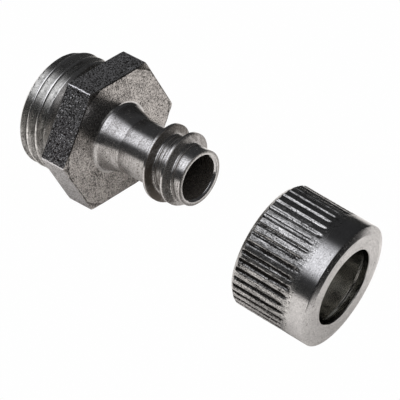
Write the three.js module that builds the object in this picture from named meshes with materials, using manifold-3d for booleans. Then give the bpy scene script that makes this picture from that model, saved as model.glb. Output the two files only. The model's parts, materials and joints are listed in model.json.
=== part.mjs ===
// A metal conduit gland in two pieces: the body, turned from hexagon bar, and the knurled sleeve taken off it.
//
// Each piece is turned about its own Y axis. On the body, y = 0 is the front face of the hexagon and y grows
// towards the mouth of the spigot. On the sleeve, y = 0 is the back rim and y grows towards the mouth.
// Lengths are in millimetres and angles in degrees.
import * as THREE from "three";
import { mergeVertices } from "three/addons/utils/BufferGeometryUtils.js";
import Module from "manifold-3d";

const wasm = await Module();
wasm.setup();

// Hexagon
const hexAcrossFlats = 18;
const hexThickness = 4.2;
const hexFaceDiameter = 18.9;
const hexChamferAngle = 18;

// Mounting thread behind the hexagon, M16 x 1.5
const mountDiameter = 16;
const mountPitch = 1.5;
const mountThreadDepth = 0.92;
const mountCrestWidth = 0.2;
const mountFlankAngle = 30;
const mountLength = 6.5;
const mountLeadChamfer = 0.6;
const mountReliefWidth = 1.1;
const mountReliefDepth = 1.05;
const mountStartAngle = 206;

// Spigot in front of the hexagon
const neckRootDiameter = 9.1;
const neckFillet = 0.5;
const neckLength = 3.25;
const stemDiameter = 7.68;
const spigotLength = 14;
const tipChamfer = 0.15;

// Coarse right-handed ridge on the spigot, which screws into the spiral of the conduit
const ridgeDiameter = 10.2;
const ridgePitch = 3;
const ridgeCrestWidth = 0.3;
const ridgeFlankAngle = 8;
const ridgeStart = 7;
const ridgeStartAngle = 211;
const ridgeTurns = 1.95;
const ridgeLeadIn = 0.06;
const ridgeRunOut = 0.3;

// Way through the body for the wires
const boreDiameter = 6.1;
const boreMouthChamfer = 0.2;
const counterboreDiameter = 11.2;
const counterboreDepth = 6;
const counterboreFloorAngle = 59;
const counterboreChamfer = 0.4;

// Sleeve
const sleeveDiameter = 17.28;
const sleeveLength = 11.78;
const frontChamferDepth = 1.15;
const frontChamferAngle = 16.5;
const backChamfer = 0.68;
const mouthClearance = 0.27;
const mouthLipLength = 0.95;
const mouthLipHeight = 0.4;
const sleeveEdgeChamfer = 0.1;
const knurlLength = 8.7;
const fluteCount = 41;
const fluteDepth = 0.36;
const fluteFloorWidth = 0.3;
const fluteWallAngle = 65;
const fluteRunOut = 0.9;

// Where the sleeve lies beside the body
const restGap = 11.78;
const restOffset = 0.91;
const restYaw = 6.1;

// Facets
const roundSteps = 64;
const ridgeStepsPerTurn = 40;
const threadStepsPerTurn = 32;
const arcSteps = 4;

// How far a cut or a joined piece reaches past the face that it meets
const overrun = 0.3;

const degrees = Math.PI / 180;

// The closed mesh of a geometry as a solid that can be joined and cut.
function solidOf(geometry) {
  geometry.deleteAttribute("normal");
  geometry.deleteAttribute("uv");
  const merged = mergeVertices(geometry);
  return new wasm.Manifold(
    new wasm.Mesh({
      numProp: 3,
      vertProperties: merged.getAttribute("position").array,
      triVerts: new Uint32Array(merged.index.array),
    }),
  );
}

// A mesh of a finished solid with its own material.
function meshOf(name, solid, material) {
  const { vertProperties, triVerts } = solid.getMesh();
  const geometry = new THREE.BufferGeometry();
  geometry.setAttribute("position", new THREE.BufferAttribute(vertProperties, 3));
  geometry.setIndex(new THREE.BufferAttribute(triVerts, 1));
  geometry.computeVertexNormals();
  const mesh = new THREE.Mesh(geometry, material);
  mesh.name = name;
  return mesh;
}

// A solid turned about Y from [radius, y] points that start and end on the axis, from low y to high y.
function turned(profile) {
  const points = profile.map(([radius, y]) => new THREE.Vector2(radius, y));
  return solidOf(new THREE.LatheGeometry(points, roundSteps));
}

// A section, drawn in x and y, carried through the places of travel 0 to 1 by place(x, y, travel).
function swept(section, steps, place) {
  const shape = new THREE.Shape(section.map(([x, y]) => new THREE.Vector2(x, y)));
  const geometry = new THREE.ExtrudeGeometry(shape, { depth: 1, steps, bevelEnabled: false });
  const position = geometry.getAttribute("position");
  for (let i = 0; i < position.count; i++) {
    const at = place(position.getX(i), position.getY(i), position.getZ(i));
    position.setXYZ(i, at.x, at.y, at.z);
  }
  return geometry;
}

// The point at a radius, an angle round the axis and a height. The angle turns right-handed about +Y.
function around(radius, angle, y) {
  return new THREE.Vector3(radius * Math.sin(angle), y, radius * Math.cos(angle));
}

// The points of an arc in a profile, from one angle to another.
function arc(centreRadius, centreY, radius, fromAngle, toAngle) {
  return Array.from({ length: arcSteps + 1 }, (_, i) => {
    const angle = (fromAngle + ((toAngle - fromAngle) * i) / arcSteps) * degrees;
    return [centreRadius + radius * Math.cos(angle), centreY + radius * Math.sin(angle)];
  });
}

// A helical ridge with flat crest and straight flanks. Its section is drawn with x along the axis and y
// outwards from the surface that it stands on, and rises and sinks with height(travel).
function helicalRidge({ baseRadius, crestRadius, crestWidth, flankAngle, pitch, start, startAngle, turns,
  steps, height }) {
  const rise = crestRadius - baseRadius;
  const crest = crestWidth / 2;
  const root = crest + (rise + overrun) * Math.tan(flankAngle * degrees);
  const section = [[-root, -overrun], [root, -overrun], [crest, rise], [-crest, rise]];
  return solidOf(swept(section, steps, (x, y, travel) => {
    const outwards = y > 0 ? y * height(travel) : y;
    return around(baseRadius + outwards, startAngle + travel * turns * 2 * Math.PI, start + x + travel * turns * pitch);
  }));
}

// The hexagon with the corners of both faces turned down to a cone.
function hexagon() {
  const cornerRadius = hexAcrossFlats / Math.sqrt(3);
  const prism = new THREE.CylinderGeometry(cornerRadius, cornerRadius, hexThickness, 6);
  prism.rotateY(30 * degrees);
  prism.translate(0, -hexThickness / 2, 0);
  const faceRadius = hexFaceDiameter / 2;
  const coneRadius = cornerRadius + overrun;
  const coneHeight = (coneRadius - faceRadius) * Math.tan(hexChamferAngle * degrees);
  const barrel = turned([
    [0, -hexThickness],
    [faceRadius, -hexThickness],
    [coneRadius, -hexThickness + coneHeight],
    [coneRadius, -coneHeight],
    [faceRadius, 0],
    [0, 0],
  ]);
  return solidOf(prism).intersect(barrel);
}

// The mounting thread: a V ridge on its root cylinder, chamfered at the free end and undercut at the hexagon.
function mountingThread() {
  const crestRadius = mountDiameter / 2;
  const rootRadius = crestRadius - mountThreadDepth;
  const reliefRadius = crestRadius - mountReliefDepth;
  const end = -hexThickness - mountLength;
  const reliefStart = -hexThickness - mountReliefWidth;
  const turns = (reliefStart - end) / mountPitch + 1;
  const ridge = helicalRidge({
    baseRadius: rootRadius,
    crestRadius,
    crestWidth: mountCrestWidth,
    flankAngle: mountFlankAngle,
    pitch: mountPitch,
    start: end - mountPitch / 2,
    startAngle: mountStartAngle * degrees,
    turns,
    steps: Math.ceil(turns * threadStepsPerTurn),
    height: () => 1,
  });
  const core = turned([[0, end], [rootRadius, end], [rootRadius, -hexThickness], [0, -hexThickness]]);
  const envelope = turned([
    [0, end],
    [crestRadius - mountLeadChamfer, end],
    [crestRadius, end + mountLeadChamfer],
    [crestRadius, reliefStart - mountReliefDepth],
    [reliefRadius, reliefStart],
    [reliefRadius, -hexThickness / 2],
    [0, -hexThickness / 2],
  ]);
  const relief = turned([[0, reliefStart], [reliefRadius, reliefStart], [reliefRadius, -hexThickness / 2], [0, -hexThickness / 2]]);
  return core.add(ridge).intersect(envelope).add(relief);
}

// The spigot without its ridge: a fillet at the hexagon, a cone and a straight stem.
function spigot() {
  const rootRadius = neckRootDiameter / 2;
  const stemRadius = stemDiameter / 2;
  return turned([
    [0, -hexThickness / 2],
    [rootRadius + neckFillet, -hexThickness / 2],
    ...arc(rootRadius + neckFillet, neckFillet, neckFillet, 270, 180),
    [stemRadius, neckLength],
    [stemRadius, spigotLength - tipChamfer],
    [stemRadius - tipChamfer, spigotLength],
    [0, spigotLength],
  ]);
}

// The coarse ridge, which comes up in a short lead-in and sinks into the stem near the mouth.
function conduitRidge() {
  const rising = ridgeLeadIn / ridgeTurns;
  const sinking = ridgeRunOut / ridgeTurns;
  return helicalRidge({
    baseRadius: stemDiameter / 2,
    crestRadius: ridgeDiameter / 2,
    crestWidth: ridgeCrestWidth,
    flankAngle: ridgeFlankAngle,
    pitch: ridgePitch,
    start: ridgeStart,
    startAngle: ridgeStartAngle * degrees,
    turns: ridgeTurns,
    steps: Math.ceil(ridgeTurns * ridgeStepsPerTurn),
    height: (travel) => Math.max(0, Math.min(1, travel / rising, (1 - travel) / sinking)),
  });
}

// What is bored out of the body: a counterbore from the thread end, its drilled floor, and the bore.
function wireway() {
  const boreRadius = boreDiameter / 2;
  const wideRadius = counterboreDiameter / 2;
  const end = -hexThickness - mountLength;
  const floor = end + counterboreDepth;
  const floorRise = (wideRadius - boreRadius) / Math.tan(counterboreFloorAngle * degrees);
  return turned([
    [0, end - overrun],
    [wideRadius + counterboreChamfer + overrun, end - overrun],
    [wideRadius, end + counterboreChamfer],
    [wideRadius, floor],
    [boreRadius, floor + floorRise],
    [boreRadius, spigotLength - boreMouthChamfer],
    [boreRadius + boreMouthChamfer + overrun, spigotLength + overrun],
    [0, spigotLength + overrun],
  ]);
}

// One flute of the straight knurl: a groove with a flat floor and sloping walls. Its floor rises to the
// surface along an arc at the front end.
function flute(angle) {
  const radius = sleeveDiameter / 2;
  const floor = fluteFloorWidth / 2;
  const top = floor + (fluteDepth + overrun) / Math.tan(fluteWallAngle * degrees);
  const section = [[-top, overrun], [-floor, -fluteDepth], [floor, -fluteDepth], [top, overrun]];
  const stops = [
    { y: -overrun, depth: 1 },
    { y: knurlLength - fluteRunOut, depth: 1 },
    { y: knurlLength - fluteRunOut / 2, depth: 0.75 },
    { y: knurlLength, depth: 0 },
  ];
  return solidOf(swept(section, stops.length - 1, (x, y, travel) => {
    const stop = stops[Math.round(travel * (stops.length - 1))];
    const outwards = y < 0 ? y * stop.depth : y;
    return around(radius + outwards, angle - x / radius, stop.y);
  }));
}

// The sleeve: a plain band and a lip at the mouth, a wider inside wall, and straight flutes round the back.
function knurledSleeve() {
  const outer = sleeveDiameter / 2;
  const mouth = ridgeDiameter / 2 + mouthClearance;
  const inner = mouth + mouthLipHeight;
  const lipBack = sleeveLength - mouthLipLength;
  const frontChamferLength = frontChamferDepth * Math.tan(frontChamferAngle * degrees);
  const blank = turned([
    [0, 0],
    [outer - backChamfer, 0],
    [outer, backChamfer],
    [outer, sleeveLength - frontChamferLength],
    [outer - frontChamferDepth, sleeveLength],
    [0, sleeveLength],
  ]);
  const passage = turned([
    [0, -overrun],
    [inner + sleeveEdgeChamfer + overrun, -overrun],
    [inner, sleeveEdgeChamfer],
    [inner, lipBack - mouthLipHeight],
    [mouth, lipBack],
    [mouth, sleeveLength - sleeveEdgeChamfer],
    [mouth + sleeveEdgeChamfer + overrun, sleeveLength + overrun],
    [0, sleeveLength + overrun],
  ]);
  const flutes = Array.from({ length: fluteCount }, (_, i) => flute((i * 2 * Math.PI) / fluteCount));
  const knurl = flutes.reduce((joined, next) => joined.add(next));
  return blank.subtract(knurl).subtract(passage);
}

const bodyMetal = new THREE.MeshStandardMaterial({ color: 0x9c9892, metalness: 1, roughness: 0.38 });
const sleeveMetal = new THREE.MeshStandardMaterial({ color: 0xa09c95, metalness: 1, roughness: 0.34 });

const bodySolid = hexagon().add(mountingThread()).add(spigot()).add(conduitRidge()).subtract(wireway());
const body = meshOf("gland_body", bodySolid, bodyMetal);
const sleeve = meshOf("knurled_sleeve", knurledSleeve(), sleeveMetal);

// The body leans back on the rear edge of its lowest flat and on the end of its mounting thread.
const lean = Math.atan2((hexAcrossFlats - mountDiameter) / 2, mountLength - mountLeadChamfer);
const faceHeight = hexThickness * Math.sin(lean) + (hexAcrossFlats / 2) * Math.cos(lean);
body.rotation.set(0, -lean, -Math.PI / 2);
body.position.set(0, 0, faceHeight);

// The sleeve lies on its side in front of the spigot, turned a little away from the line of the body.
sleeve.rotation.set(0, 0, restYaw * degrees - Math.PI / 2);
sleeve.position.set(spigotLength * Math.cos(lean) + restGap, restOffset, sleeveDiameter / 2);

// The part's origin is the middle of the rectangle that both pieces cover on the surface they rest on.
const pair = new THREE.Group();
pair.add(body, sleeve);
pair.updateMatrixWorld(true);
const reach = new THREE.Box3().setFromObject(pair, true);
const middle = reach.getCenter(new THREE.Vector3());
pair.position.set(-middle.x, -middle.y, -reach.min.z);

const gland = new THREE.Group();
gland.add(pair);

export default gland;
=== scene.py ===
"""A metal conduit gland: its turned body and, taken off beside it, its knurled sleeve.

Sizes are in millimetres and angles in degrees. A mesh is turned to metres when it is made. Every piece is the
skin of a turned part: rings of points round an axis, from one end of its outline, along the outside, back
through the bore and to the first ring again. A point of a ring has a height along the axis, a radius and an
angle, and the angle is right-handed about the axis and starts at the top.
"""

import json
import logging
from abc import ABC, abstractmethod
from dataclasses import dataclass, field
from enum import Enum

import bpy
import numpy as np
from mathutils import Matrix, Vector

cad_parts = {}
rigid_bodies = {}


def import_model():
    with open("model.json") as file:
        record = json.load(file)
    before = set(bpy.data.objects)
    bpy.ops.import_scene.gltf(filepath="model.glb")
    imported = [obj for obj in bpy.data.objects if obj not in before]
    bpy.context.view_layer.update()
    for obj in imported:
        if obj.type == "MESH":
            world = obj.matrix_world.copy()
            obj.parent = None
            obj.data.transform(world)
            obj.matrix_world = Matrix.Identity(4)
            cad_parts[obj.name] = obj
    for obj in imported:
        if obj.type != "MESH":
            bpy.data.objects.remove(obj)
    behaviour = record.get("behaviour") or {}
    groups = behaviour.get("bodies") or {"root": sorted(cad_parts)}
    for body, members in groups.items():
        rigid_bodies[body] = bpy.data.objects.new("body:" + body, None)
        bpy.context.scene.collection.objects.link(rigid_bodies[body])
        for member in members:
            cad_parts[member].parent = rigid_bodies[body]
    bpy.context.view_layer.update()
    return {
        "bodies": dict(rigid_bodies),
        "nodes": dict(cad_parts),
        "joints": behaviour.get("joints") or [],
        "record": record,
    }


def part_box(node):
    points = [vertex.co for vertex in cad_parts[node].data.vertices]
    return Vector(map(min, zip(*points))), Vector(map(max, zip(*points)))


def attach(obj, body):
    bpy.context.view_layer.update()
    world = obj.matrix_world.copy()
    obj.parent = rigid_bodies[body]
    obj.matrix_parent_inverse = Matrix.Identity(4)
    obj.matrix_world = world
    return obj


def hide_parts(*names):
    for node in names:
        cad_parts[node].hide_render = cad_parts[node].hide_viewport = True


LOG = logging.getLogger("gland")
MM = 0.001
TINY = 1e-9
FULL_TURN = 360.0
HEX_SECTOR = 60.0
DENSITY_SAMPLES = 1600
ROUNDING_RINGS = 5
ROUNDING_LIMIT = 0.48
NOISE_GAIN = 2.5
BLOTCH_SIZE = 1.9
PIT_SPACING = 1.2
PIT_EDGES = (0.27, 0.38)
PIT_DEPTH = 0.012
CRUST_SHADES = (0.1, 0.5)
DARK_ROUGHNESS = 0.25

Array = np.ndarray
Number = np.ndarray | float
Pair = tuple[float, float]
Triple = tuple[float, float, float]
Frame = dict[str, object]
Inputs = dict[str | int, object]
Socket = bpy.types.NodeSocket


def sine(angle: Number) -> Number:
    """Return the sine of an angle in degrees."""
    return np.sin(np.radians(angle))


def cosine(angle: Number) -> Number:
    """Return the cosine of an angle in degrees."""
    return np.cos(np.radians(angle))


def tangent(angle: float) -> float:
    """Return the tangent of an angle in degrees."""
    return float(np.tan(np.radians(angle)))


def off_nearest(value: Array, period: float) -> Array:
    """Return how far a value is past the nearest whole number of periods, negative if before it."""
    return np.mod(value + period / 2, period) - period / 2


def above(value: Array, softness: float) -> Array:
    """Keep what lies above zero, with a rounded corner.

    The result is 0 below -softness, the value itself above +softness, and the parabola
    (value + softness)^2 / (4 softness) between them.

    Args:
        value: The numbers to clip.
        softness: Half the width of the rounded corner.

    Returns:
        The clipped numbers.
    """
    eased = (np.clip(value, -softness, softness) + softness) ** 2 / (4 * softness)
    return np.where(value > softness, value, eased)


def below(value: Array, limit: Number, softness: float) -> Array:
    """Return the value held under a limit with a rounded corner: limit - above(limit - value)."""
    return limit - above(limit - value, softness)


def eased_step(value: Array, start: float, end: float) -> Array:
    """Return 0 before start and 1 after end, with the curve 3t^2 - 2t^3 between them."""
    t = np.clip((value - start) / (end - start), 0.0, 1.0)
    return t * t * (3 - 2 * t)


def placed(name: str, data: bpy.types.ID) -> bpy.types.Object:
    """Put data, such as a mesh or a light, into the scene as a new object.

    Args:
        name: Name of the object.
        data: What the object shows.

    Returns:
        The object.
    """
    thing = bpy.data.objects.new(name, data)
    bpy.context.scene.collection.objects.link(thing)
    return thing


@dataclass(frozen=True)
class Unevenness:
    """Small smooth unevenness of a turned surface, as a sum of waves that close round the axis.

    Each wave is cos(along * height + round * angle + phase). Its length lies between the two wavelengths. Its
    direction and phase are random but seeded, and its number of turns round the axis is whole, so it has no
    seam.
    """

    seed: int
    shortest: float
    longest: float
    radius: float
    waves: int = 24

    def at(self, height: Array, angle: Array) -> Array:
        """Work out the unevenness at points of the surface.

        Args:
            height: Heights along the axis, in millimetres.
            angle: Angles round the axis, in degrees, of a shape that fits the heights.

        Returns:
            The unevenness, with a standard deviation of about 1.
        """
        draw = np.random.default_rng(self.seed)
        length = self.shortest * (self.longest / self.shortest) ** draw.random(self.waves)
        heading = draw.random(self.waves) * np.pi
        phase = draw.random(self.waves) * 2 * np.pi
        along = 2 * np.pi * np.cos(heading) / length
        turns = np.round(2 * np.pi * self.radius * np.sin(heading) / length)
        total = np.zeros(np.broadcast(height, angle).shape)
        for wave in range(self.waves):
            total += np.cos(along[wave] * height + turns[wave] * np.radians(angle) + phase[wave])
        return total * np.sqrt(2 / self.waves)


@dataclass(frozen=True)
class Focus:
    """A place beside a helix where the rows of a mesh lie closer together.

    Fields:
        place: Distance of the place from the helix, along the axis.
        width: Half the width of the place where the extra density is 1/e of its peak.
        gain: Extra density of rows at the peak, against 1 elsewhere.
    """

    place: float
    width: float
    gain: float


def rows_by_helix(start: float, end: float, count: int, helix: Array, pitch: float,
                  focuses: tuple[Focus, ...]) -> Array:
    """Space rows between two heights, closer together near places that follow a helix.

    The density at a distance a from the helix is 1 + the sum of gain * exp(-((a - place) / width)^2), and
    each column has its rows at equal steps of the sum of its density.

    Args:
        start: Height of the first row.
        end: Height of the last row.
        count: Number of rows.
        helix: Height of the helix at each column.
        pitch: Rise of the helix in one turn.
        focuses: Places where the rows lie closer.

    Returns:
        Heights, one row for each ring and one column for each angle.
    """
    fine = np.linspace(start, end, DENSITY_SAMPLES)
    density = np.ones((len(fine), len(helix)))
    for focus in focuses:
        away = off_nearest(fine[:, None] - helix - focus.place, pitch)
        density += focus.gain * np.exp(-(away / focus.width) ** 2)
    travel = np.cumsum(density, axis=0)
    travel = (travel - travel[0]) / (travel[-1] - travel[0])
    steps = np.linspace(0.0, 1.0, count)
    return np.stack([np.interp(steps, column, fine) for column in travel.T], axis=1)


@dataclass(frozen=True)
class Seat:
    """The place of a turned piece in the row frame: a point on its axis, in metres, and its direction."""

    origin: Vector
    axis: Vector

    @property
    def top(self) -> Vector:
        """The direction at angle 0: straight up, made square to the axis."""
        up = Vector((0.0, 0.0, 1.0))
        return (up - up.dot(self.axis) * self.axis).normalized()

    @property
    def side(self) -> Vector:
        """The direction at angle 90, right-handed about the axis."""
        return self.axis.cross(self.top)

    def points(self, height: Array, radius: Array, angle: Array) -> Array:
        """Place surface points: origin + height along the axis + radius in the direction of the angle.

        Args:
            height: Heights along the axis, in millimetres.
            radius: Radii, in millimetres, of the same shape.
            angle: Angles in degrees, of a shape that fits them.

        Returns:
            Points in metres, with a last dimension of 3.
        """
        axis, top, side = (np.array(v) for v in (self.axis, self.top, self.side))
        outwards = cosine(angle)[..., None] * top + sine(angle)[..., None] * side
        return np.array(self.origin) + MM * (height[..., None] * axis + radius[..., None] * outwards)


@dataclass(frozen=True)
class Strip:
    """One or more rings of the outline, and the strip that leads to the first of them.

    Fields:
        rows: Heights, radii and tones, with one row for each ring and one column for each angle. A tone below
            0 stands for dirt and painted shade, and a tone above 0 for wear and painted highlights.
        zone: Finish of the strips up to and between these rings.
        rounding: How far the rounding of a single ring reaches along both neighbouring strips.
        steps: Number of strips that lead to the first ring.
    """

    rows: Array
    zone: Enum
    rounding: float = 0.0
    steps: int = 1


@dataclass
class Skin:
    """The closed skin of a turned piece, built ring by ring along its outline.

    A corner is one ring that is rounded later between its neighbours. A block is many rings at once, whose
    radius is a function of height and angle.
    """

    angles: Array
    strips: list[Strip] = field(default_factory=list)

    def corner(self, height: Number, radius: Number, zone: Enum, rounding: float = 0.0, steps: int = 1,
               tone: Number = 0.0) -> None:
        """Add one ring. Its height, radius and tone are one value or one for each angle.

        Args:
            height: Height of the ring along the axis.
            radius: Radius of the ring.
            zone: Finish of the strip from the last ring to this one.
            rounding: Reach of the rounding of this corner.
            steps: Number of strips that lead to this ring.
            tone: Below 0 for dirt and painted shade, above 0 for wear and painted highlights.
        """
        flat = np.zeros(len(self.angles))
        rows = np.stack([height + flat, radius + flat, tone + flat])[:, None]
        self.strips.append(Strip(rows, zone, rounding, steps))

    def block(self, heights: Array, radii: Array, zone: Enum, tones: Array) -> None:
        """Add many rings at once, with one row for each ring and one column for each angle."""
        self.strips.append(Strip(np.stack([heights, radii, tones]), zone))

    def rounded(self, entry: int) -> Array:
        """Round one corner with the curve (1-t)^2 A + 2t(1-t) C + t^2 B from A to B near the corner C.

        Args:
            entry: Number of the corner in the outline.

        Returns:
            Heights, radii and tones of the rings of the rounded corner. They all have the corner's tone.
        """
        corner = self.strips[entry].rows[:, 0]
        ends = []
        for other, ring in ((entry - 1, -1), ((entry + 1) % len(self.strips), 0)):
            gap = self.strips[other].rows[:, ring] - corner
            gap[2] = 0.0
            length = np.maximum(np.hypot(gap[0], gap[1]), TINY)
            reach = np.minimum(self.strips[entry].rounding / length, ROUNDING_LIMIT)
            ends.append((corner + gap * reach)[:, None])
        t = np.linspace(0.0, 1.0, ROUNDING_RINGS)[:, None]
        return (1 - t) ** 2 * ends[0] + 2 * t * (1 - t) * corner[:, None] + t ** 2 * ends[1]

    def rings(self) -> tuple[Array, Array]:
        """Put the outline together.

        Returns:
            Heights, radii and tones, one row for each ring, and the zone of the strip up to each ring.
        """
        done, zones = [], []
        for entry, strip in enumerate(self.strips):
            rows = self.rounded(entry) if strip.rounding > 0 else strip.rows
            if done and strip.steps > 1:
                t = np.linspace(0.0, 1.0, strip.steps + 1)[1:-1, None]
                between = done[-1][:, -1:] * (1 - t) + rows[:, :1] * t
                rows = np.concatenate([between, rows], axis=1)
            done.append(rows)
            zones += [strip.zone.value] * rows.shape[1]
        return np.concatenate(done, axis=1), np.array(zones, np.int32)

    def build(self, name: str, seat: Seat, finishes: list[bpy.types.Material],
              crease: float) -> bpy.types.Object:
        """Make the mesh: a quad between each pair of neighbouring rings and angles, closed both ways round.

        Args:
            name: Name of the piece.
            seat: Place of the piece.
            finishes: Materials in the order of the zones.
            crease: Edges sharper than this angle stay sharp.

        Returns:
            The piece, with two attributes: "tone", and "turned", whose x is the length along the outline and
            whose y and z are the place round the axis, all in millimetres.
        """
        (heights, radii, tones), zones = self.rings()
        points = seat.points(heights, radii, self.angles[None, :]).reshape(-1, 3)
        here = np.arange(heights.size).reshape(heights.shape)
        after = np.roll(here, -1, axis=0)
        quads = np.stack([here, np.roll(here, -1, axis=1), np.roll(after, -1, axis=1), after], axis=-1)
        mesh = bpy.data.meshes.new(name)
        mesh.from_pydata(points, [], quads.reshape(-1, 4), shade_flat=False)
        rows, columns = heights.shape
        mesh.polygons.foreach_set("material_index", np.repeat(np.roll(zones, -1), columns))
        gaps = np.hypot(np.diff(heights.mean(1)), np.diff(radii.mean(1)))
        travel = np.concatenate([[0.0], np.cumsum(gaps)])[:, None]
        around = (radii * cosine(self.angles), radii * sine(self.angles))
        turned = np.stack(np.broadcast_arrays(travel, *around), -1)
        for key, kind, entry, values in (
            ("turned", "FLOAT_VECTOR", "vector", turned),
            ("tone", "FLOAT", "value", tones),
        ):
            attribute = mesh.attributes.new(key, kind, "POINT")
            attribute.data.foreach_set(entry, values.astype(np.float32).ravel())
        for finish in finishes:
            mesh.materials.append(finish)
        mesh.set_sharp_from_angle(angle=np.radians(crease))
        mesh.validate()
        LOG.info("%s: %d rings of %d points, %d triangles", name, rows, columns, 2 * here.size)
        return placed(name, mesh)


@dataclass
class NodeSheet:
    """A short way to lay out the nodes of one material or of the world."""

    tree: bpy.types.NodeTree

    def feed(self, node: bpy.types.Node, inputs: Inputs) -> None:
        """Give a node's inputs their values, or join them to the sockets that they take them from.

        Args:
            node: The node.
            inputs: Values or output sockets for the node's inputs, by name or number.
        """
        for socket, value in inputs.items():
            if isinstance(value, Socket):
                self.tree.links.new(value, node.inputs[socket])
            else:
                node.inputs[socket].default_value = value

    def add(self, kind: str, inputs: Inputs | None = None, **settings: object) -> bpy.types.Node:
        """Add a node.

        Args:
            kind: Type of the node, without the leading ShaderNode.
            inputs: Values or output sockets for the node's inputs, by name or number.
            settings: Properties of the node.

        Returns:
            The node.
        """
        node = self.tree.nodes.new("ShaderNode" + kind)
        for name, value in settings.items():
            setattr(node, name, value)
        self.feed(node, inputs or {})
        return node

    def math(self, operation: str, first: object, second: object, third: object = 0.0,
             clamp: bool = False) -> Socket:
        """Return the result of a sum, product or other operation on numbers or sockets."""
        inputs = {0: first, 1: second, 2: third}
        return self.add("Math", inputs, operation=operation, use_clamp=clamp).outputs[0]

    def mixed(self, share: Socket, first: Triple, second: Triple) -> Socket:
        """Return a colour between two: the first where the share is 0, the second where it is 1."""
        inputs = {0: share, 6: (*first, 1.0), 7: (*second, 1.0)}
        return self.add("Mix", inputs, data_type="RGBA").outputs[2]

    def noise(self, place: Socket, scale: float, detail: float, roughness: float) -> Socket:
        """Return fractal noise, from 0 to 1, at a place."""
        inputs = {"Vector": place, "Scale": scale, "Detail": detail, "Roughness": roughness}
        return self.add("TexNoise", inputs).outputs["Fac"]

    def grain(self, size: float, detail: float, roughness: float) -> Socket:
        """Return noise on the piece's own coordinates, whose lumps are about size millimetres."""
        place = self.add("TexCoord").outputs["Object"]
        return self.noise(place, 1 / (size * MM), detail, roughness)

    def streaks(self, along: float, around: float) -> Socket:
        """Lay out noise that is drawn out along or round the turned surface.

        Args:
            along: Size of its lumps along the outline, in millimetres.
            around: Size of its lumps round the axis, in millimetres.

        Returns:
            The noise, from 0 to 1.
        """
        place = self.add("Attribute", attribute_name="turned").outputs["Vector"]
        scale = (1 / along, 1 / around, 1 / around)
        squeezed = self.add("VectorMath", {0: place, 1: scale}, operation="MULTIPLY").outputs["Vector"]
        return self.noise(squeezed, scale=1.0, detail=3.0, roughness=0.65)

    def spread(self, value: object, low: float, high: float, start: float, end: float) -> Socket:
        """Return a value stretched from the range low to high to start to end, and held there."""
        inputs = {"Value": value, "From Min": low, "From Max": high, "To Min": start, "To Max": end}
        return self.add("MapRange", inputs, interpolation_type="SMOOTHSTEP").outputs["Result"]


def sheet_of(owner: bpy.types.Material | bpy.types.World) -> NodeSheet:
    """Give a new material or world its nodes, and return the sheet to lay them out on."""
    owner.use_nodes = True
    return NodeSheet(owner.node_tree)


@dataclass(frozen=True)
class LightPatch:
    """A level rectangle of light with soft edges, in metres.

    Fields:
        low: The corner with the lowest x and y, in the middle of the soft edges.
        high: The corner with the highest x and y.
        low_fade: Half the width of the soft edges at the lowest x and at the lowest y.
        high_fade: Half the width of the soft edges at the highest x and at the highest y.
    """

    low: Pair
    high: Pair
    low_fade: Pair
    high_fade: Pair

    def share(self, sheet: NodeSheet) -> Socket:
        """Lay out how bright the patch is, from 0 outside it to 1 inside.

        Args:
            sheet: Node sheet of the surface that holds the patch.

        Returns:
            The product of the four soft edges.
        """
        place = sheet.add("SeparateXYZ", {0: sheet.add("TexCoord").outputs["Object"]})
        shares = []
        for axis in (0, 1):
            across, low, high = place.outputs[axis], self.low[axis], self.high[axis]
            soft, far_soft = self.low_fade[axis], self.high_fade[axis]
            rising = sheet.spread(across, low - soft, low + soft, 0.0, 1.0)
            falling = sheet.spread(across, high - far_soft, high + far_soft, 1.0, 0.0)
            shares.append(sheet.math("MULTIPLY", rising, falling))
        return sheet.math("MULTIPLY", *shares)


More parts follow.
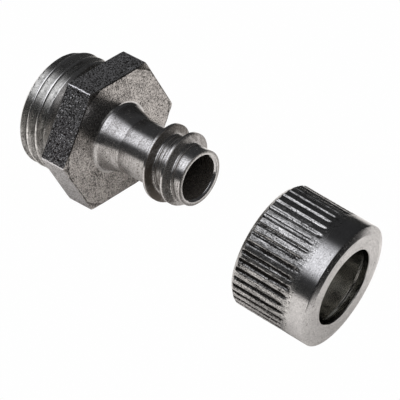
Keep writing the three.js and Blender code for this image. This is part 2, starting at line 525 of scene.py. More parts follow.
@dataclass(frozen=True)
class NickelFinish:
    """Nickel-plated brass as one process leaves it.

    The colour lies between a dark and a light one. It starts at the share "clean", and the grain, the
    blotches and the turning streaks move it both ways, while pits take it down and the tone moves it: down
    for dirt and painted shade, up for wear and painted highlights.

    Fields:
        light: Lightest colour of the metal, as linear red, green and blue.
        dark: Colour of dirt, of painted shade and of the bottoms of pits.
        clean: Share of the light colour on clean metal, from 0 to 1.
        roughness: Roughness of the metal.
        grain: Size of the grain, in millimetres.
        mottle: How far the grain moves the colour.
        grain_depth: Height of the grain, in millimetres.
        grain_detail: How many finer sizes the grain is made of, besides its own.
        stain: How far the blotches move the colour.
        pits: How far small pits darken the metal.
        streak_size: Size of the streaks along the outline and round the axis, in millimetres.
        streak: How far the streaks move the colour.
        streak_depth: Height of the streaks, in millimetres.
        metallic: Share of the light that the surface mirrors. The rest is scattered as by a dull surface.
        crust: How far dark tone, from dirt and painted shade, lowers that share.
    """

    name: str
    light: Triple = (0.60, 0.60, 0.60)
    dark: Triple = (0.03, 0.027, 0.024)
    clean: float = 0.62
    roughness: float = 0.22
    grain: float = 0.26
    mottle: float = 0.5
    grain_depth: float = 0.006
    grain_detail: float = 3.0
    stain: float = 0.15
    pits: float = 0.5
    streak_size: Pair = (0.12, 2.2)
    streak: float = 0.15
    streak_depth: float = 0.001
    metallic: float = 1.0
    crust: float = 0.0

    def material(self) -> bpy.types.Material:
        """Lay out the finish: its colour, its roughness, which grows where the metal is dark, and its bump.

        Returns:
            The material.
        """
        material = bpy.data.materials.new(self.name)
        sheet = sheet_of(material)
        shader = material.node_tree.nodes["Principled BSDF"]
        grain = sheet.grain(self.grain, self.grain_detail, roughness=0.75)
        blotch = sheet.grain(BLOTCH_SIZE, detail=3.0, roughness=0.6)
        lumps = sheet.grain(self.grain * PIT_SPACING, detail=1.0, roughness=0.5)
        pit = sheet.spread(lumps, *PIT_EDGES, 1.0, 0.0)
        streak = sheet.streaks(*self.streak_size)
        tone = sheet.add("Attribute", attribute_name="tone").outputs["Fac"]
        shade = sheet.math("ADD", tone, self.clean)
        for noise, share in ((grain, self.mottle), (blotch, self.stain), (streak, self.streak)):
            centred = sheet.math("SUBTRACT", noise, 0.5)
            shade = sheet.math("MULTIPLY_ADD", centred, NOISE_GAIN * share, shade)
        shade = sheet.math("MULTIPLY_ADD", pit, -self.pits, shade, clamp=True)
        relief = sheet.math("MULTIPLY", grain, self.grain_depth)
        relief = sheet.math("MULTIPLY_ADD", streak, self.streak_depth, relief)
        relief = sheet.math("MULTIPLY_ADD", pit, -PIT_DEPTH * self.pits, relief)
        bump = sheet.add("Bump", {"Height": relief, "Distance": MM, "Strength": 1.0})
        darkness = sheet.math("SUBTRACT", self.clean, shade)
        sheet.feed(shader, {
            "Base Color": sheet.mixed(shade, self.dark, self.light),
            "Roughness": sheet.math("MULTIPLY_ADD", darkness, DARK_ROUGHNESS, self.roughness),
            "Metallic": self.metallic,
            "Normal": bump.outputs["Normal"],
        })
        if self.crust:
            mirrored = sheet.spread(shade, *CRUST_SHADES, self.metallic - self.crust, self.metallic)
            sheet.feed(shader, {"Metallic": mirrored})
        return material


@dataclass
class TurnedPiece(ABC):
    """A turned part of the gland, dressed and in the place of its CAD node.

    Fields:
        piece: Name of the piece.
        node: CAD node that it replaces.
        body: Body that it rides on.
        slot: Name of its material slot; not used.
        crease: Edges sharper than this angle stay sharp.
    """

    piece: str
    node: str
    body: str
    slot: str
    crease: float = 32.0

    @abstractmethod
    def seat(self, frame: Frame) -> Seat:
        """Find the place of the piece."""

    @abstractmethod
    def angles(self) -> Array:
        """Choose the angles of the rings."""

    @abstractmethod
    def outline(self, skin: Skin) -> None:
        """Add the whole outline to the skin."""

    @abstractmethod
    def finishes(self) -> tuple[NickelFinish, ...]:
        """Return the finishes in the order of the zones."""

    def build(self, frame: Frame) -> Seat:
        """Build the piece, dress it and let it ride in place of its CAD node.

        Args:
            frame: What loading the frame returned.

        Returns:
            The place of the piece.
        """
        seat = self.seat(frame)
        skin = Skin(self.angles())
        self.outline(skin)
        finishes = [finish.material() for finish in self.finishes()]
        piece = skin.build(self.piece, seat, finishes, self.crease)
        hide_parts(self.node)
        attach(piece, self.body)
        return seat


class BodyZone(Enum):
    """The differently finished surfaces of the body."""

    THREAD = 0
    FLAT = 1
    FACE = 2
    SPIGOT = 3
    BORE = 4


@dataclass(frozen=True)
class ToolMark:
    """A fine groove that the ridge's tool left beside the ridge.

    Fields:
        place: Its distance from the middle of the ridge, towards the mouth.
        width: Half its width where it is 1/e of its depth.
        depth: Its depth.
        until: The turn of the ridge where it ends.
    """

    place: float
    width: float
    depth: float
    until: float


@dataclass
class GlandBody(TurnedPiece):
    """The body, turned from hexagon bar: mounting thread, hexagon, ridged spigot and bore.

    Height 0 is the front face of the hexagon, and heights grow towards the mouth of the spigot.
    """

    piece: str = "turned_gland_body"
    node: str = "gland_body"
    body: str = "body"
    slot: str = "body_nickel"
    mount: str = "conduit_stop"
    mount_radius: float = 7.0

    hex_across_flats: float = 18.0
    hex_thickness: float = 4.2
    hex_face_diameter: float = 18.9
    hex_chamfer_angle: float = 12.0
    hex_corner_rounding: float = 0.3
    edge_break: float = 0.13
    # corner_wear_and_highlight: wear and a painted highlight along the hexagon's rounded corner edges
    corner_wear_and_highlight: float = 0.45
    corner_wear_reach: float = 0.7
    # rim_shade_line: a painted line of shade along the rim of the front face
    rim_shade_line: float = -0.5
    rim_width: float = 0.12

    thread_diameter: float = 16.0
    thread_pitch: float = 1.5
    thread_depth: float = 0.92
    thread_crest: float = 0.2
    thread_flank: float = 30.0
    thread_length: float = 6.5
    thread_start: float = 206.0
    # crest_wear_and_highlight: wear and a painted highlight along the thread's crest
    crest_wear_and_highlight: float = 0.35
    # root_dirt_and_shade: dirt and painted shade in the thread's root
    root_dirt_and_shade: float = 0.15
    thread_patchiness: float = 0.4
    # lower_thread_shade: painted shade on the thread's lower side, away from the top
    lower_thread_shade: float = 0.4
    lead_chamfer: float = 0.6
    relief_width: float = 1.1
    relief_depth: float = 1.05
    relief_fillet: float = 0.7

    neck_root_diameter: float = 9.1
    neck_fillet: float = 0.5
    neck_length: float = 3.25
    neck_dirt: float = -0.08
    # fillet_highlight: a painted highlight along the fillet at the root of the neck
    fillet_highlight: float = 0.1
    stem_diameter: float = 7.68
    spigot_length: float = 14.0
    tip_chamfer: float = 0.15
    # tip_shade: a painted dark line of shade round the tip's outer edge
    tip_shade: float = -0.3
    # mouth_highlight: a painted bright ring of highlight on the bore's chamfer at the mouth
    mouth_highlight: float = 0.2

    ridge_diameter: float = 10.2
    ridge_pitch: float = 3.0
    ridge_crest: float = 0.3
    ridge_flank: float = 14.0
    ridge_start: float = 7.0
    ridge_start_angle: float = 211.0
    ridge_turns: float = 1.95
    ridge_lead_in: float = 0.06
    ridge_run_out: float = 0.3
    ridge_foot: float = 0.16
    ridge_foot_gain: float = 2.0
    crest_softness: float = 0.08
    flank_dirt: float = -0.5
    # underside_shade and underside_shade_middle: painted shade under the spigot, darkest at that angle
    underside_shade: float = -0.2
    underside_shade_middle: float = 110.0
    # crest_line_width and crest_light_and_shade_lines: a painted highlight and painted dark lines of shade
    # along the ridge's crest
    crest_line_width: float = 0.065
    crest_light_and_shade_lines: tuple[Pair, ...] = ((-0.23, -0.5), (-0.08, 0.8), (0.16, -0.4))
    mark_wobble: float = 0.015
    mark_dirt: float = -18.0
    tool_marks: tuple[ToolMark, ...] = (
        ToolMark(0.88, 0.07, 0.03, 2.0), ToolMark(1.15, 0.05, 0.008, 1.1), ToolMark(1.48, 0.07, 0.024, 1.1),
        ToolMark(1.85, 0.06, 0.012, 1.1))

    bore_diameter: float = 6.1
    bore_chamfer: float = 0.26
    counterbore_diameter: float = 11.2
    counterbore_depth: float = 6.0
    counterbore_floor_angle: float = 59.0
    counterbore_chamfer: float = 0.4

    columns_per_flat: int = 32
    corner_reach: float = 0.85
    corner_columns: tuple[float, ...] = (0.09, 0.27, 0.45, 0.62)
    thread_rows: int = 96
    thread_focus: Focus = Focus(place=0.0, width=0.2, gain=2.5)
    ridge_rows: int = 194
    ridge_focus: Focus = Focus(place=0.0, width=0.32, gain=3.0)
    plain_stem: float = 1.2
    plain_mouth: float = 0.35

    @property
    def thread_end(self) -> float:
        """Height of the free end of the mounting thread."""
        return -self.hex_thickness - self.thread_length

    @property
    def undercut(self) -> float:
        """Height where the mounting thread ends and the relief groove starts."""
        return -self.hex_thickness - self.relief_width

    def angles(self) -> Array:
        """Choose the angles of the rings: even steps over each flat, and closer ones round each corner.

        Returns:
            Angles in degrees over one turn. Corners lie at 30, 90 and so on.
        """
        half = HEX_SECTOR / 2
        even = np.linspace(-half + self.corner_reach, half - self.corner_reach, self.columns_per_flat)
        close = np.array(self.corner_columns)
        sector = np.concatenate([even, half - close[::-1], half + close])
        return (sector + HEX_SECTOR * np.arange(6)[:, None]).ravel()

    def from_corner(self, angle: Array) -> Array:
        """Return how far an angle is from the nearest corner of the hexagon."""
        return HEX_SECTOR / 2 - np.abs(off_nearest(angle, HEX_SECTOR))

    def hex_radius(self, angle: Array) -> Array:
        """Work out the hexagon's outline: half the width over the cosine, with an arc round each corner.

        Args:
            angle: Angles in degrees.

        Returns:
            Radii of the hexagon's sides.
        """
        half = self.hex_across_flats / 2
        straight = half / cosine(off_nearest(angle, HEX_SECTOR))
        from_corner = self.from_corner(angle)
        centre = (half - self.hex_corner_rounding) / cosine(HEX_SECTOR / 2)
        under = self.hex_corner_rounding ** 2 - (centre * sine(from_corner)) ** 2
        arc = centre * cosine(from_corner) + np.sqrt(np.maximum(under, 0.0))
        in_arc = centre * sine(from_corner) < self.hex_corner_rounding / 2
        return np.where(in_arc, arc, straight)

    def thread_helix(self, angle: Array) -> Array:
        """Return the height of a crest of the mounting thread at each angle."""
        climb = self.thread_pitch * (angle - self.thread_start) / FULL_TURN
        return self.thread_end - self.thread_pitch / 2 + climb

    def thread_radius(self, height: Array, angle: Array) -> Array:
        """Work out the mounting thread: a rounded V along a helix, under a chamfered and undercut envelope.

        Args:
            height: Heights along the axis.
            angle: Angles in degrees, of a shape that fits the heights.

        Returns:
            Radii of the threaded surface.
        """
        crest_radius = self.thread_diameter / 2
        from_crest = np.abs(off_nearest(height - self.thread_helix(angle), self.thread_pitch))
        drop = above(from_crest - self.thread_crest / 2, softness=0.09) / tangent(self.thread_flank)
        thread = crest_radius - below(drop, self.thread_depth, softness=0.06)
        lead = crest_radius - self.lead_chamfer + (height - self.thread_end)
        sinking = above(height - self.undercut + self.relief_depth, softness=0.05)
        relief = crest_radius - np.minimum(sinking, self.relief_depth)
        return below(below(thread, lead, softness=0.02), relief, softness=0.04)

    def thread_tone(self, radius: Array, height: Array, angle: Array) -> Array:
        """Work out where the thread is lighter, for wear and a painted highlight along its crest, and darker,
        for dirt and painted shade along its root and painted shade on its lower side.

        Args:
            radius: Radii of the threaded surface.
            height: Heights along the axis.
            angle: Angles in degrees, of a shape that fits them.

        Returns:
            The tone of the surface.
        """
        depth = self.thread_diameter / 2 - radius
        patches = Unevenness(seed=31, shortest=0.6, longest=4.0, radius=self.thread_diameter / 2)
        uneven = 1 + self.thread_patchiness * patches.at(height, angle)
        # Wear and a painted highlight along the crest.
        worn = self.crest_wear_and_highlight * (1 - eased_step(depth, start=0.0, end=0.16)) * uneven
        wound = height < self.undercut
        # Dirt and painted shade in the root of the thread.
        rooted = eased_step(depth, start=self.thread_depth - 0.3, end=self.thread_depth) * wound
        # Painted shade: the thread grows darker from 48 to 85 degrees away from the top.
        lower = eased_step(np.abs(off_nearest(angle, FULL_TURN)), start=48.0, end=85.0)
        return worn - self.root_dirt_and_shade * rooted * uneven - self.lower_thread_shade * lower

    def ridge_height(self, height: Array, angle: Array) -> tuple[Array, Array]:
        """Work out how far the coarse ridge stands out of the stem, with the marks its tool left beside it.

        Each turn of the ridge is a trapezoid over the distance from its helix, with a rounded crest and a
        fillet at its foot. It rises over the lead-in and sinks over the run-out. Each mark follows the helix
        at its own distance, with the section depth * exp(-(distance / width)^2), and holds dirt. Along the
        crest run a painted highlight and painted lines of shade.

        Args:
            height: Heights along the axis.
            angle: Angles in degrees, of a shape that fits the heights.

        Returns:
            How far the surface stands out of the stem, and its tone.
        """
        rise = (self.ridge_diameter - self.stem_diameter) / 2
        half = self.ridge_crest / 2 + rise * tangent(self.ridge_flank)
        ridge = np.zeros(np.broadcast(height, angle).shape)
        sunk, tone = np.zeros_like(ridge), np.zeros_like(ridge)
        first = np.mod(angle - self.ridge_start_angle, FULL_TURN) / FULL_TURN
        waver = Unevenness(seed=21, shortest=2.0, longest=8.0, radius=self.stem_diameter / 2)
        wobble = self.mark_wobble * waver.at(height, angle)
        sinks_from = self.ridge_turns - self.ridge_run_out
        for turn in (first - 1, first, first + 1, first + 2):
            along = height - self.ridge_start - turn * self.ridge_pitch
            climb = (half - np.abs(along)) / tangent(self.ridge_flank)
            fillet = above(half + self.ridge_foot - np.abs(along), softness=0.02) ** 2
            section = above(climb, softness=0.02) + self.ridge_foot_gain * fillet
            rising = eased_step(turn, start=0.0, end=self.ridge_lead_in)
            fade = rising * (1 - eased_step(turn, start=sinks_from, end=self.ridge_turns))
            ridge = np.maximum(ridge, below(section, rise, self.crest_softness) * fade)
            under_crest = 1 - eased_step(climb, start=rise - 0.15, end=rise + 0.1)
            flank = eased_step(climb, start=0.0, end=0.2) * under_crest * fade
            dirt = self.flank_dirt * (1 - 0.5 * eased_step(turn, start=0.8, end=1.2))
            tone = np.where(climb > -self.ridge_foot, dirt * flank, tone)
            # A painted highlight and painted lines of shade along the crest.
            for edge, change in self.crest_light_and_shade_lines:
                tone += change * fade * np.exp(-((along - edge) / self.crest_line_width) ** 2)
            for mark in self.tool_marks:
                stopping = 1 - eased_step(turn, start=mark.until - 0.3, end=mark.until)
                cut = eased_step(turn, start=-0.1, end=0.0) * stopping
                groove = cut * np.exp(-((along + wobble - mark.place) / mark.width) ** 2)
                sunk = np.maximum(sunk, mark.depth * groove)
                tone = np.minimum(tone, self.mark_dirt * mark.depth * groove)
        return ridge - sunk, tone

    def underside(self, angle: Array) -> Array:
        """Return painted shade under the spigot: ((1 + cos(angle - underside_shade_middle)) / 2)^2 of the
        full shade.
        """
        return self.underside_shade * ((1 + cosine(angle - self.underside_shade_middle)) / 2) ** 2

    def outline(self, skin: Skin) -> None:
        """Add the whole outline, from the free end of the thread round to the counterbore.

        Args:
            skin: The skin to add to.
        """
        self.mounting_end(skin)
        self.hexagon(skin)
        self.spigot(skin)
        self.wireway(skin)

    def mounting_end(self, skin: Skin) -> None:
        """Add the free end of the thread, the thread and its undercut.

        Args:
            skin: The skin to add to.
        """
        end = self.thread_end
        inner = self.counterbore_diameter / 2 + self.counterbore_chamfer
        skin.corner(end, inner, BodyZone.BORE, rounding=0.05)
        outer = self.thread_radius(np.array(end), skin.angles)
        skin.corner(end, outer - 0.03, BodyZone.THREAD, steps=3)
        last = -self.hex_thickness - self.relief_fillet - 0.1
        helix = self.thread_helix(skin.angles)
        focuses = (self.thread_focus,)
        heights = rows_by_helix(end + 0.03, last, self.thread_rows, helix, self.thread_pitch, focuses)
        radii = self.thread_radius(heights, skin.angles)
        skin.block(heights, radii, BodyZone.THREAD, self.thread_tone(radii, heights, skin.angles))
        root = self.thread_diameter / 2 - self.relief_depth
        skin.corner(last + 0.05, root, BodyZone.THREAD)
        skin.corner(-self.hex_thickness, root, BodyZone.THREAD, rounding=self.relief_fillet)

    def hexagon(self, skin: Skin) -> None:
        """Add the hexagon: the back face, the flats between two turned chamfers, and the front face.

        Args:
            skin: The skin to add to.
        """
        side = self.hex_radius(skin.angles)
        face = np.minimum(self.hex_face_diameter / 2, side - self.edge_break)
        chamfer = np.maximum(self.edge_break, (side - face) * tangent(self.hex_chamfer_angle))
        back = -self.hex_thickness
        # The corners of the hexagon carry wear and a painted highlight along their rounded edges.
        worn = np.where(self.from_corner(skin.angles) < self.corner_wear_reach, self.corner_wear_and_highlight, 0.0)
        skin.corner(back, face, BodyZone.FACE, rounding=0.05, steps=3)
        skin.corner(back + chamfer, side, BodyZone.FACE, rounding=0.04, steps=3, tone=worn)
        skin.corner(-chamfer, side, BodyZone.FLAT, rounding=0.04, steps=8, tone=worn)
        # A painted dark line of shade runs along the rim of the front face, next to the flats.
        skin.corner(0.0, face, BodyZone.FACE, rounding=0.03, steps=3, tone=self.rim_shade_line)
        skin.corner(0.0, face - self.rim_width, BodyZone.FACE)

    def spigot(self, skin: Skin) -> None:
        """Add the neck, the stem with its ridge, and the mouth.

        Args:
            skin: The skin to add to.
        """
        stem, bore = self.stem_diameter / 2, self.bore_diameter / 2
        root = self.neck_root_diameter / 2
        end, zone = self.spigot_length, BodyZone.SPIGOT
        # under is painted shade on the underside of the neck and stem.
        under = self.underside(skin.angles)
        skin.corner(0.0, root + self.neck_fillet, BodyZone.FACE, rounding=0.03, steps=10)
        # A painted highlight along the neck's root fillet, with the painted underside shade.
        skin.corner(0.0, root + 0.1, zone, rounding=self.neck_fillet, tone=self.fillet_highlight + under)
        lower = 2.2 * self.neck_fillet
        slimmer = root + 0.1 - (root + 0.1 - stem) * lower / self.neck_length
        skin.corner(lower, slimmer, zone, tone=self.neck_dirt + under)
        skin.corner(self.neck_length, stem, zone, rounding=0.12, steps=8, tone=under)
        helix = self.ridge_start + self.ridge_pitch * (skin.angles - self.ridge_start_angle) / FULL_TURN
        beside = (Focus(mark.place, width=0.12, gain=50 * mark.depth) for mark in self.tool_marks)
        focuses = (self.ridge_focus, *beside)
        first, last = self.neck_length + self.plain_stem, end - self.plain_mouth
        heights = rows_by_helix(first, last, self.ridge_rows, helix, self.ridge_pitch, focuses)
        stands, tones = self.ridge_height(heights, skin.angles)
        low = 1 - eased_step(stands, start=0.9, end=1.2)
        # The stem between the ridge's turns gets the painted underside shade too.
        skin.block(heights, stem + stands, zone, tones + low * under)
        skin.corner(end - self.tip_chamfer - 0.03, stem, zone)
        # A painted dark line of shade round the outer edge of the tip.
        skin.corner(end, stem, zone, rounding=self.tip_chamfer, tone=self.tip_shade)
        # A painted highlight on the chamfer of the bore at the mouth.
        skin.corner(end, bore + self.bore_chamfer, zone, rounding=0.05, steps=2, tone=self.mouth_highlight)
        skin.corner(end - self.bore_chamfer, bore, zone, rounding=0.05, steps=2, tone=self.mouth_highlight)

    def wireway(self, skin: Skin) -> None:
        """Add the bore, the drilled floor and the counterbore.

        Args:
            skin: The skin to add to.
        """
        bore = self.bore_diameter / 2
        wide = self.counterbore_diameter / 2
        end = self.thread_end
        floor = end + self.counterbore_depth
        rise = (wide - bore) / tangent(self.counterbore_floor_angle)
        skin.corner(floor + rise, bore, BodyZone.BORE, rounding=0.1, steps=8)
        skin.corner(floor, wide, BodyZone.BORE, rounding=0.15, steps=3)
        skin.corner(end + self.counterbore_chamfer, wide, BodyZone.BORE, rounding=0.05, steps=5)

    def seat(self, frame: Frame) -> Seat:
        """Find the body's place from the mount on the front face of its hexagon.

        Args:
            frame: What loading the frame returned.

        Returns:
            The seat, with its origin at the middle of that face.
        """
        mount = next(m for m in frame["record"]["mounts"] if m["name"] == self.mount)
        aside = Vector((0.0, self.mount_radius * MM, 0.0))
        return Seat(Vector(mount["pos_m"]) + aside, Vector(mount["axis"]).normalized())

    def finishes(self) -> tuple[NickelFinish, ...]:
        """Return the finishes in the order of the zones."""
        return (
            NickelFinish("turned_thread", light=(0.9, 0.9, 0.88), clean=0.76, roughness=0.2, mottle=0.4,
                         grain=0.2, pits=0.3, grain_depth=0.003, streak=0.3),
            NickelFinish("blasted_flat", light=(0.80, 0.80, 0.82), clean=0.3, roughness=0.12, grain=0.19,
                         mottle=0.6, grain_depth=0.058, grain_detail=0.0, pits=0.0, metallic=0.88),
            NickelFinish("turned_face", light=(0.58, 0.56, 0.54), roughness=0.24, grain=0.22, mottle=1.3,
                         grain_depth=0.008, stain=0.45, pits=0.7, streak_size=(0.3, 2.2)),
            NickelFinish("turned_spigot", light=(0.80, 0.80, 0.80), dark=(0.09, 0.078, 0.066), roughness=0.17,
                         grain=0.2, grain_depth=0.003, pits=0.3, streak=0.3, metallic=0.99, crust=0.25),
            NickelFinish("bored_wall", light=(0.2, 0.18, 0.16), roughness=0.3, streak_size=(0.3, 2.2),
                         streak=0.4, streak_depth=0.004, metallic=0.8),
        )


class SleeveZone(Enum):
    """The differently finished surfaces of the sleeve."""

    KNURL = 0
    BAND = 1
    FACE = 2
    PASSAGE = 3


@dataclass
class KnurledSleeve(TurnedPiece):
    """The sleeve: a straight knurl round the back, a plain band, a chamfered mouth and a lip inside it.

    Height 0 is the back rim, and heights grow towards the mouth.
    """

    piece: str = "turned_knurled_sleeve"
    node: str = "knurled_sleeve"
    body: str = "sleeve"
    slot: str = "sleeve_nickel"

    diameter: float = 17.28
    length: float = 11.78
    crown_width: float = 1.15
    crown_drop: float = 0.3406
    back_chamfer: float = 0.68
    mouth_diameter: float = 10.74
    lip_length: float = 0.95
    lip_height: float = 0.4
    edge_chamfer: float = 0.1

    knurl_length: float = 8.7
    flutes: int = 41
    flute_depth: float = 0.2
    flute_floor: float = 0.17
    flute_wall: float = 38.0
    flute_run_out: float = 1.3
    place_error: float = 0.22
    width_error: float = 0.25
    depth_error: float = 0.1
    stop_error: float = 0.12
    largest_error: float = 1.5
    knurl_drop: float = 0.02
    lump_height: float = 0.008
    fine_lump_height: float = 0.0025
    lump_sway: float = 0.005
    # wall_dirt_and_shade, flute_dirt_and_shade: dirt and painted shade on the flutes' walls and in the flutes
    wall_dirt_and_shade: float = 0.04
    steepest: float = 1.5
    flute_dirt_and_shade: float = 0.4
    # underside_shade and land_shade: painted shade on the flutes and the lands away from the top
    underside_shade: float = 2.8
    land_shade: float = 0.17
    columns_per_flute: int = 18
    rim_rows: int = 14
    knurl_rows: int = 37
    run_out_rows: int = 16
    seed: int = 7

    def angles(self) -> Array:
        """Return even angles, with the same number over each flute."""
        count = self.flutes * self.columns_per_flute
        return np.arange(count) * FULL_TURN / count

    def knurl(self, height: Array, angle: Array) -> tuple[Array, Array]:
        """Work out the knurled surface and its tone: dirt and painted shade in the flutes and on their steep
        walls, and painted shade on the flutes and lands away from the top.

        Over the distance round the surface from the middle of its flute, the depth is a trapezoid with a
        rounded floor and rounded lands. It fades at the front end as (1 - t^2)^2 over the run-out. Every
        flute has its own small error of place, width, depth and run-out, and the metal is lumpy.

        Args:
            height: Heights along the axis.
            angle: Angles in degrees, of a shape that fits the heights.

        Returns:
            Radii and tones of the knurled surface.
        """
        radius = self.diameter / 2
        pitch = FULL_TURN / self.flutes
        draw = np.random.default_rng(self.seed)
        number = np.round(angle / pitch).astype(int)
        errors = draw.normal(0.0, 1.0, (4, self.flutes))[:, np.mod(number, self.flutes)]
        wander, widen, deepen, stop = np.clip(errors, -self.largest_error, self.largest_error)
        lumps = Unevenness(seed=11, shortest=0.5, longest=3.0, radius=radius).at(height, angle)
        fine = Unevenness(seed=12, shortest=0.25, longest=0.8, radius=radius).at(height, angle)
        centre = number * pitch + self.place_error * wander
        aside = np.abs(angle - centre) * np.radians(1.0) * radius + self.lump_sway * lumps
        depth = self.flute_depth * (1 + self.depth_error * deepen)
        half = self.flute_floor / 2 * (1 + self.width_error * widen)
        slope = tangent(self.flute_wall)
        wall = (half + self.flute_depth / slope - aside) * slope
        end = self.knurl_length + self.stop_error * stop
        t = np.clip((height - end + self.flute_run_out) / self.flute_run_out, 0.0, 1.0)
        groove = below(above(wall, softness=0.02), depth, softness=0.05) * (1 - t ** 2) ** 2
        knurled = 1 - eased_step(height, start=self.knurl_length - 0.3, end=self.knurl_length + 0.2)
        lumpy = knurled * (self.lump_height * lumps + self.fine_lump_height * fine)
        sunk = above(groove, softness=0.02)
        spacing = 2 * np.pi * radius / (self.flutes * self.columns_per_flute)
        steep = np.clip(np.abs(np.gradient(sunk, axis=1)) / spacing, 0.0, self.steepest)
        from_top = np.abs(off_nearest(angle, FULL_TURN))
        # dirt is the flutes' dirt and painted shade, with more painted shade away from the top; lands is
        # painted shade too.
        dirt = self.flute_dirt_and_shade + self.underside_shade * eased_step(from_top, start=30.0, end=65.0)
        lands = self.land_shade * eased_step(from_top, start=15.0, end=40.0)
        tone = -self.wall_dirt_and_shade * steep - dirt * sunk - lands
        return radius - sunk - self.knurl_drop * knurled + lumpy, knurled * tone

    def outline(self, skin: Skin) -> None:
        """Add the whole outline, from the back rim round to the inside wall."""
        self.outside(skin)
        self.passage(skin)

    def outside(self, skin: Skin) -> None:
        """Add the back rim, the knurl, the band and the cone at the mouth.

        Args:
            skin: The skin to add to.
        """
        radius = self.diameter / 2
        rim = radius - self.back_chamfer
        inner = self.mouth_diameter / 2 + self.lip_height
        skin.corner(0.0, inner + self.edge_chamfer, SleeveZone.PASSAGE, rounding=0.04)
        skin.corner(0.0, rim - 0.05, SleeveZone.FACE, steps=4)
        heights = np.concatenate([
            np.linspace(0.05, 0.95, self.rim_rows),
            np.linspace(1.1, self.knurl_length - 1.2, self.knurl_rows),
            np.linspace(self.knurl_length - 1.1, self.knurl_length + 0.4, self.run_out_rows),
        ])[:, None] + 0 * skin.angles
        chamfered = np.minimum(rim + heights, radius)
        knurled, tones = self.knurl(heights, skin.angles)
        tones = np.where(knurled > chamfered, 0.0, tones)
        skin.block(heights, below(knurled, chamfered, softness=0.02), SleeveZone.KNURL, tones)
        skin.corner(self.length - self.crown_drop, radius, SleeveZone.BAND, rounding=0.07, steps=6)
        skin.corner(self.length, radius - self.crown_width, SleeveZone.FACE, rounding=0.05, steps=3)

    def passage(self, skin: Skin) -> None:
        """Add the front face, the lip and the inside wall.

        Args:
            skin: The skin to add to.
        """
        mouth = self.mouth_diameter / 2
        inner = mouth + self.lip_height
        back = self.length - self.lip_length
        skin.corner(self.length, mouth + self.edge_chamfer, SleeveZone.FACE, rounding=0.04, steps=6)
        skin.corner(self.length - self.edge_chamfer, mouth, SleeveZone.PASSAGE, rounding=0.04)
        skin.corner(back, mouth, SleeveZone.PASSAGE, rounding=0.04, steps=3)
        skin.corner(back - self.lip_height, inner, SleeveZone.PASSAGE, rounding=0.05, steps=2)
        skin.corner(self.edge_chamfer, inner, SleeveZone.PASSAGE, rounding=0.04, steps=10)

    def seat(self, frame: Frame) -> Seat:
        """Find the sleeve's place from the joint's axis and the middle of the CAD node's box.

        The widest ring lies between the two chamfers, so the box's middle across the length is the middle of
        that stretch, and along the length the two end faces reach out by their own radii.

        Args:
            frame: What loading the frame returned.

        Returns:
            The seat, with its origin at the middle of the back rim.
        """
        axis = Vector(frame["joints"][0]["axis"]).normalized()
        low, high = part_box(self.node)
        radius = self.diameter / 2
        widest = (self.back_chamfer + self.length - self.crown_drop) / 2
        across = (low.y + high.y) / 2 - widest * MM * axis.y
        along = low.x + (radius - self.back_chamfer) * MM * axis.y
        return Seat(Vector((along, across, (low.z + high.z) / 2)), axis)

    def finishes(self) -> tuple[NickelFinish, ...]:
        """Return the finishes in the order of the zones."""
        return (
            NickelFinish("rolled_knurl", light=(0.86, 0.86, 0.85), dark=(0.012, 0.011, 0.01), clean=0.54,
                         grain=0.18, mottle=0.7, grain_depth=0.002, stain=0.1, streak_size=(1.8, 0.14),
                         streak=0.6, streak_depth=0.003),
            NickelFinish("turned_band", light=(0.8, 0.8, 0.8), roughness=0.17, grain=0.2, mottle=0.35,
                         grain_depth=0.002, pits=0.2),
            NickelFinish("turned_end", light=(0.78, 0.78, 0.78), roughness=0.2, grain=0.2, mottle=0.4,
                         grain_depth=0.003, pits=0.4, streak_size=(0.25, 2.2)),
            NickelFinish("bored_passage", light=(0.55, 0.55, 0.52), roughness=0.16, mottle=0.15, stain=0.1,
                         pits=0.1, streak=0.2, streak_depth=0.002),
        )


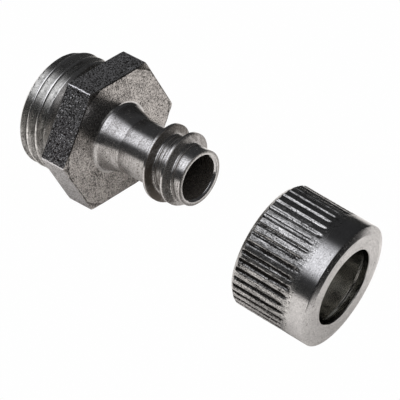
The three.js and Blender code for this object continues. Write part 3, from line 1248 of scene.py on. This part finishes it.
@dataclass
class Studio:
    """The white table, the softbox above it, a card at the right, a fill light and the camera."""

    table_size: float = 1.2
    # painted_table_pool: a painted pool of light on the table
    painted_table_pool: LightPatch = LightPatch((-0.06, -0.105), (0.04, 0.075), (0.04, 0.055), (0.003, 0.06))
    table_glow: float = 0.08
    table_colour: Triple = (0.8, 0.762, 0.728)
    shade_colour: Triple = (0.02, 0.02, 0.02)
    room_glow: float = 0.04
    backdrop_glow: float = 0.993

    softbox_size: float = 4.4
    softbox_height: float = 0.6
    softbox_patch: LightPatch = LightPatch((-1.6, -0.86), (0.35, -0.025), (0.3, 0.38), (0.2, 0.17))
    softbox_radiance: float = 1.35
    softbox_colour: Triple = (0.985, 0.985, 1.03)
    fill_size: float = 1.8
    fill_height: float = 0.45
    fill_radiance: float = 1.0
    card_place: Triple = (0.5, 0.11, 0.165)
    card_size: Pair = (0.27, 0.15)
    card_radiance: float = 0.85

    lens: float = 324.0
    sensor: float = 36.0
    nearest: float = 0.01
    farthest: float = 20.0
    distance: float = 466.1
    azimuth: float = -54.12
    elevation: float = 41.07
    roll: float = 10.02
    aim: Triple = (11.89, 3.54, -4.70)

    def plane(self, name: str, size: float, height: float, surface: bpy.types.Material) -> None:
        """Make a level square round the upright axis and put it in the scene.

        Args:
            name: Name of the square.
            size: Length of its sides, in metres.
            height: Its height above the table, in metres.
            surface: Its material.
        """
        half = size / 2
        mesh = bpy.data.meshes.new(name)
        sides = ((-half, -half), (half, -half), (half, half), (-half, half))
        mesh.from_pydata([(*side, height) for side in sides], [], [(0, 1, 2, 3)])
        mesh.materials.append(surface)
        square = placed(name, mesh)

    def table(self) -> None:
        """Make the table: white paper with a painted pool of light, dark outside a patch and glowing inside
        it, that the camera itself sees as plain white.
        """
        material = bpy.data.materials.new("table_top")
        sheet = sheet_of(material)
        nodes = material.node_tree.nodes
        # Painted pool of light: the paper is dark outside the patch and glows inside it.
        lit = self.painted_table_pool.share(sheet)
        shader = nodes["Principled BSDF"]
        sheet.feed(shader, {
            "Base Color": sheet.mixed(lit, self.shade_colour, self.table_colour),
            "Roughness": 1.0,
            "Specular IOR Level": 0.0,
            "Emission Color": (*self.table_colour, 1.0),
            "Emission Strength": sheet.math("MULTIPLY", lit, self.table_glow),
        })
        seen = sheet.add("LightPath").outputs["Is Camera Ray"]
        white = sheet.add("Emission", {"Strength": self.backdrop_glow}).outputs[0]
        both = sheet.add("MixShader", {0: seen, 1: shader.outputs[0], 2: white}).outputs[0]
        sheet.feed(nodes["Material Output"], {"Surface": both})
        self.plane("table", self.table_size, 0.0, material)

    def panel(self, name: str, place: Triple, size: Pair, radiance: float) -> bpy.types.Object:
        """Make a rectangular light that faces the middle of the table.

        Args:
            name: Name of the light.
            place: Its middle, in metres.
            size: Its width and its height, in metres.
            radiance: Its brightness.

        Returns:
            The light.
        """
        light = bpy.data.lights.new(name, "AREA")
        light.shape = "RECTANGLE"
        light.size, light.size_y = size
        light.energy = radiance * np.pi * size[0] * size[1]
        panel = placed(name, light)
        turn = Vector(place).to_track_quat("Z", "Y")
        panel.matrix_world = Matrix.LocRotScale(Vector(place), turn, None)
        return panel

    def lights(self) -> None:
        """Make the softbox, the fill and the card."""
        material = bpy.data.materials.new("softbox_cloth")
        sheet = sheet_of(material)
        lit = self.softbox_patch.share(sheet)
        strength = sheet.math("MULTIPLY_ADD", lit, self.softbox_radiance, self.room_glow)
        cloth = sheet.add("Emission", {"Color": (*self.softbox_colour, 1.0), "Strength": strength})
        sheet.feed(material.node_tree.nodes["Material Output"], {"Surface": cloth.outputs[0]})
        self.plane("softbox", self.softbox_size, self.softbox_height, material)
        fill_place = (0.0, 0.0, self.fill_height)
        fill = self.panel("fill", fill_place, (self.fill_size, self.fill_size), self.fill_radiance)
        fill.visible_glossy = False
        card = self.panel("card", self.card_place, self.card_size, self.card_radiance)
        card.visible_camera = False

    def room(self) -> None:
        """Make the dim room, which the camera itself sees as plain white."""
        world = bpy.data.worlds.new("room")
        sheet = sheet_of(world)
        seen = sheet.add("LightPath").outputs["Is Camera Ray"]
        glow = sheet.spread(seen, 0.0, 1.0, self.room_glow, self.backdrop_glow)
        background = world.node_tree.nodes["Background"]
        sheet.feed(background, {"Strength": glow, "Color": (1.0, 1.0, 1.0, 1.0)})
        bpy.context.scene.world = world

    def camera(self, body: Seat) -> None:
        """Place the camera by its direction, roll and distance from a point beside the hexagon's front face.

        Args:
            body: The place of the body.
        """
        level_share = cosine(self.elevation)
        back = Vector((
            level_share * cosine(self.azimuth),
            level_share * sine(self.azimuth),
            sine(self.elevation),
        ))
        level = Vector((-back.y, back.x, 0.0)).normalized()
        right = cosine(self.roll) * level + sine(self.roll) * back.cross(level)
        up = back.cross(right)
        data = bpy.data.cameras.new("camera")
        data.lens = self.lens
        data.sensor_width = self.sensor
        data.clip_start = self.nearest
        data.clip_end = self.farthest
        camera = placed("camera", data)
        place = body.origin + MM * (Vector(self.aim) + self.distance * back)
        turn = Matrix((right, up, back)).transposed()
        camera.matrix_world = Matrix.LocRotScale(place, turn.to_quaternion(), None)
        bpy.context.scene.camera = camera

    def build(self, body: Seat) -> None:
        """Build the studio round the object.

        Args:
            body: The place of the body.
        """
        self.table()
        self.lights()
        self.room()
        self.camera(body)
        bpy.context.scene.view_settings.view_transform = "Standard"
        LOG.info("studio: table, softbox, lights, room and camera")


def main() -> None:
    """Load the frame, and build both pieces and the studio."""
    logging.basicConfig(level=logging.INFO, format="%(name)s: %(message)s")
    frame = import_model()
    body = GlandBody().build(frame)
    KnurledSleeve().build(frame)
    Studio().build(body)


if __name__ == "__main__":
    main()
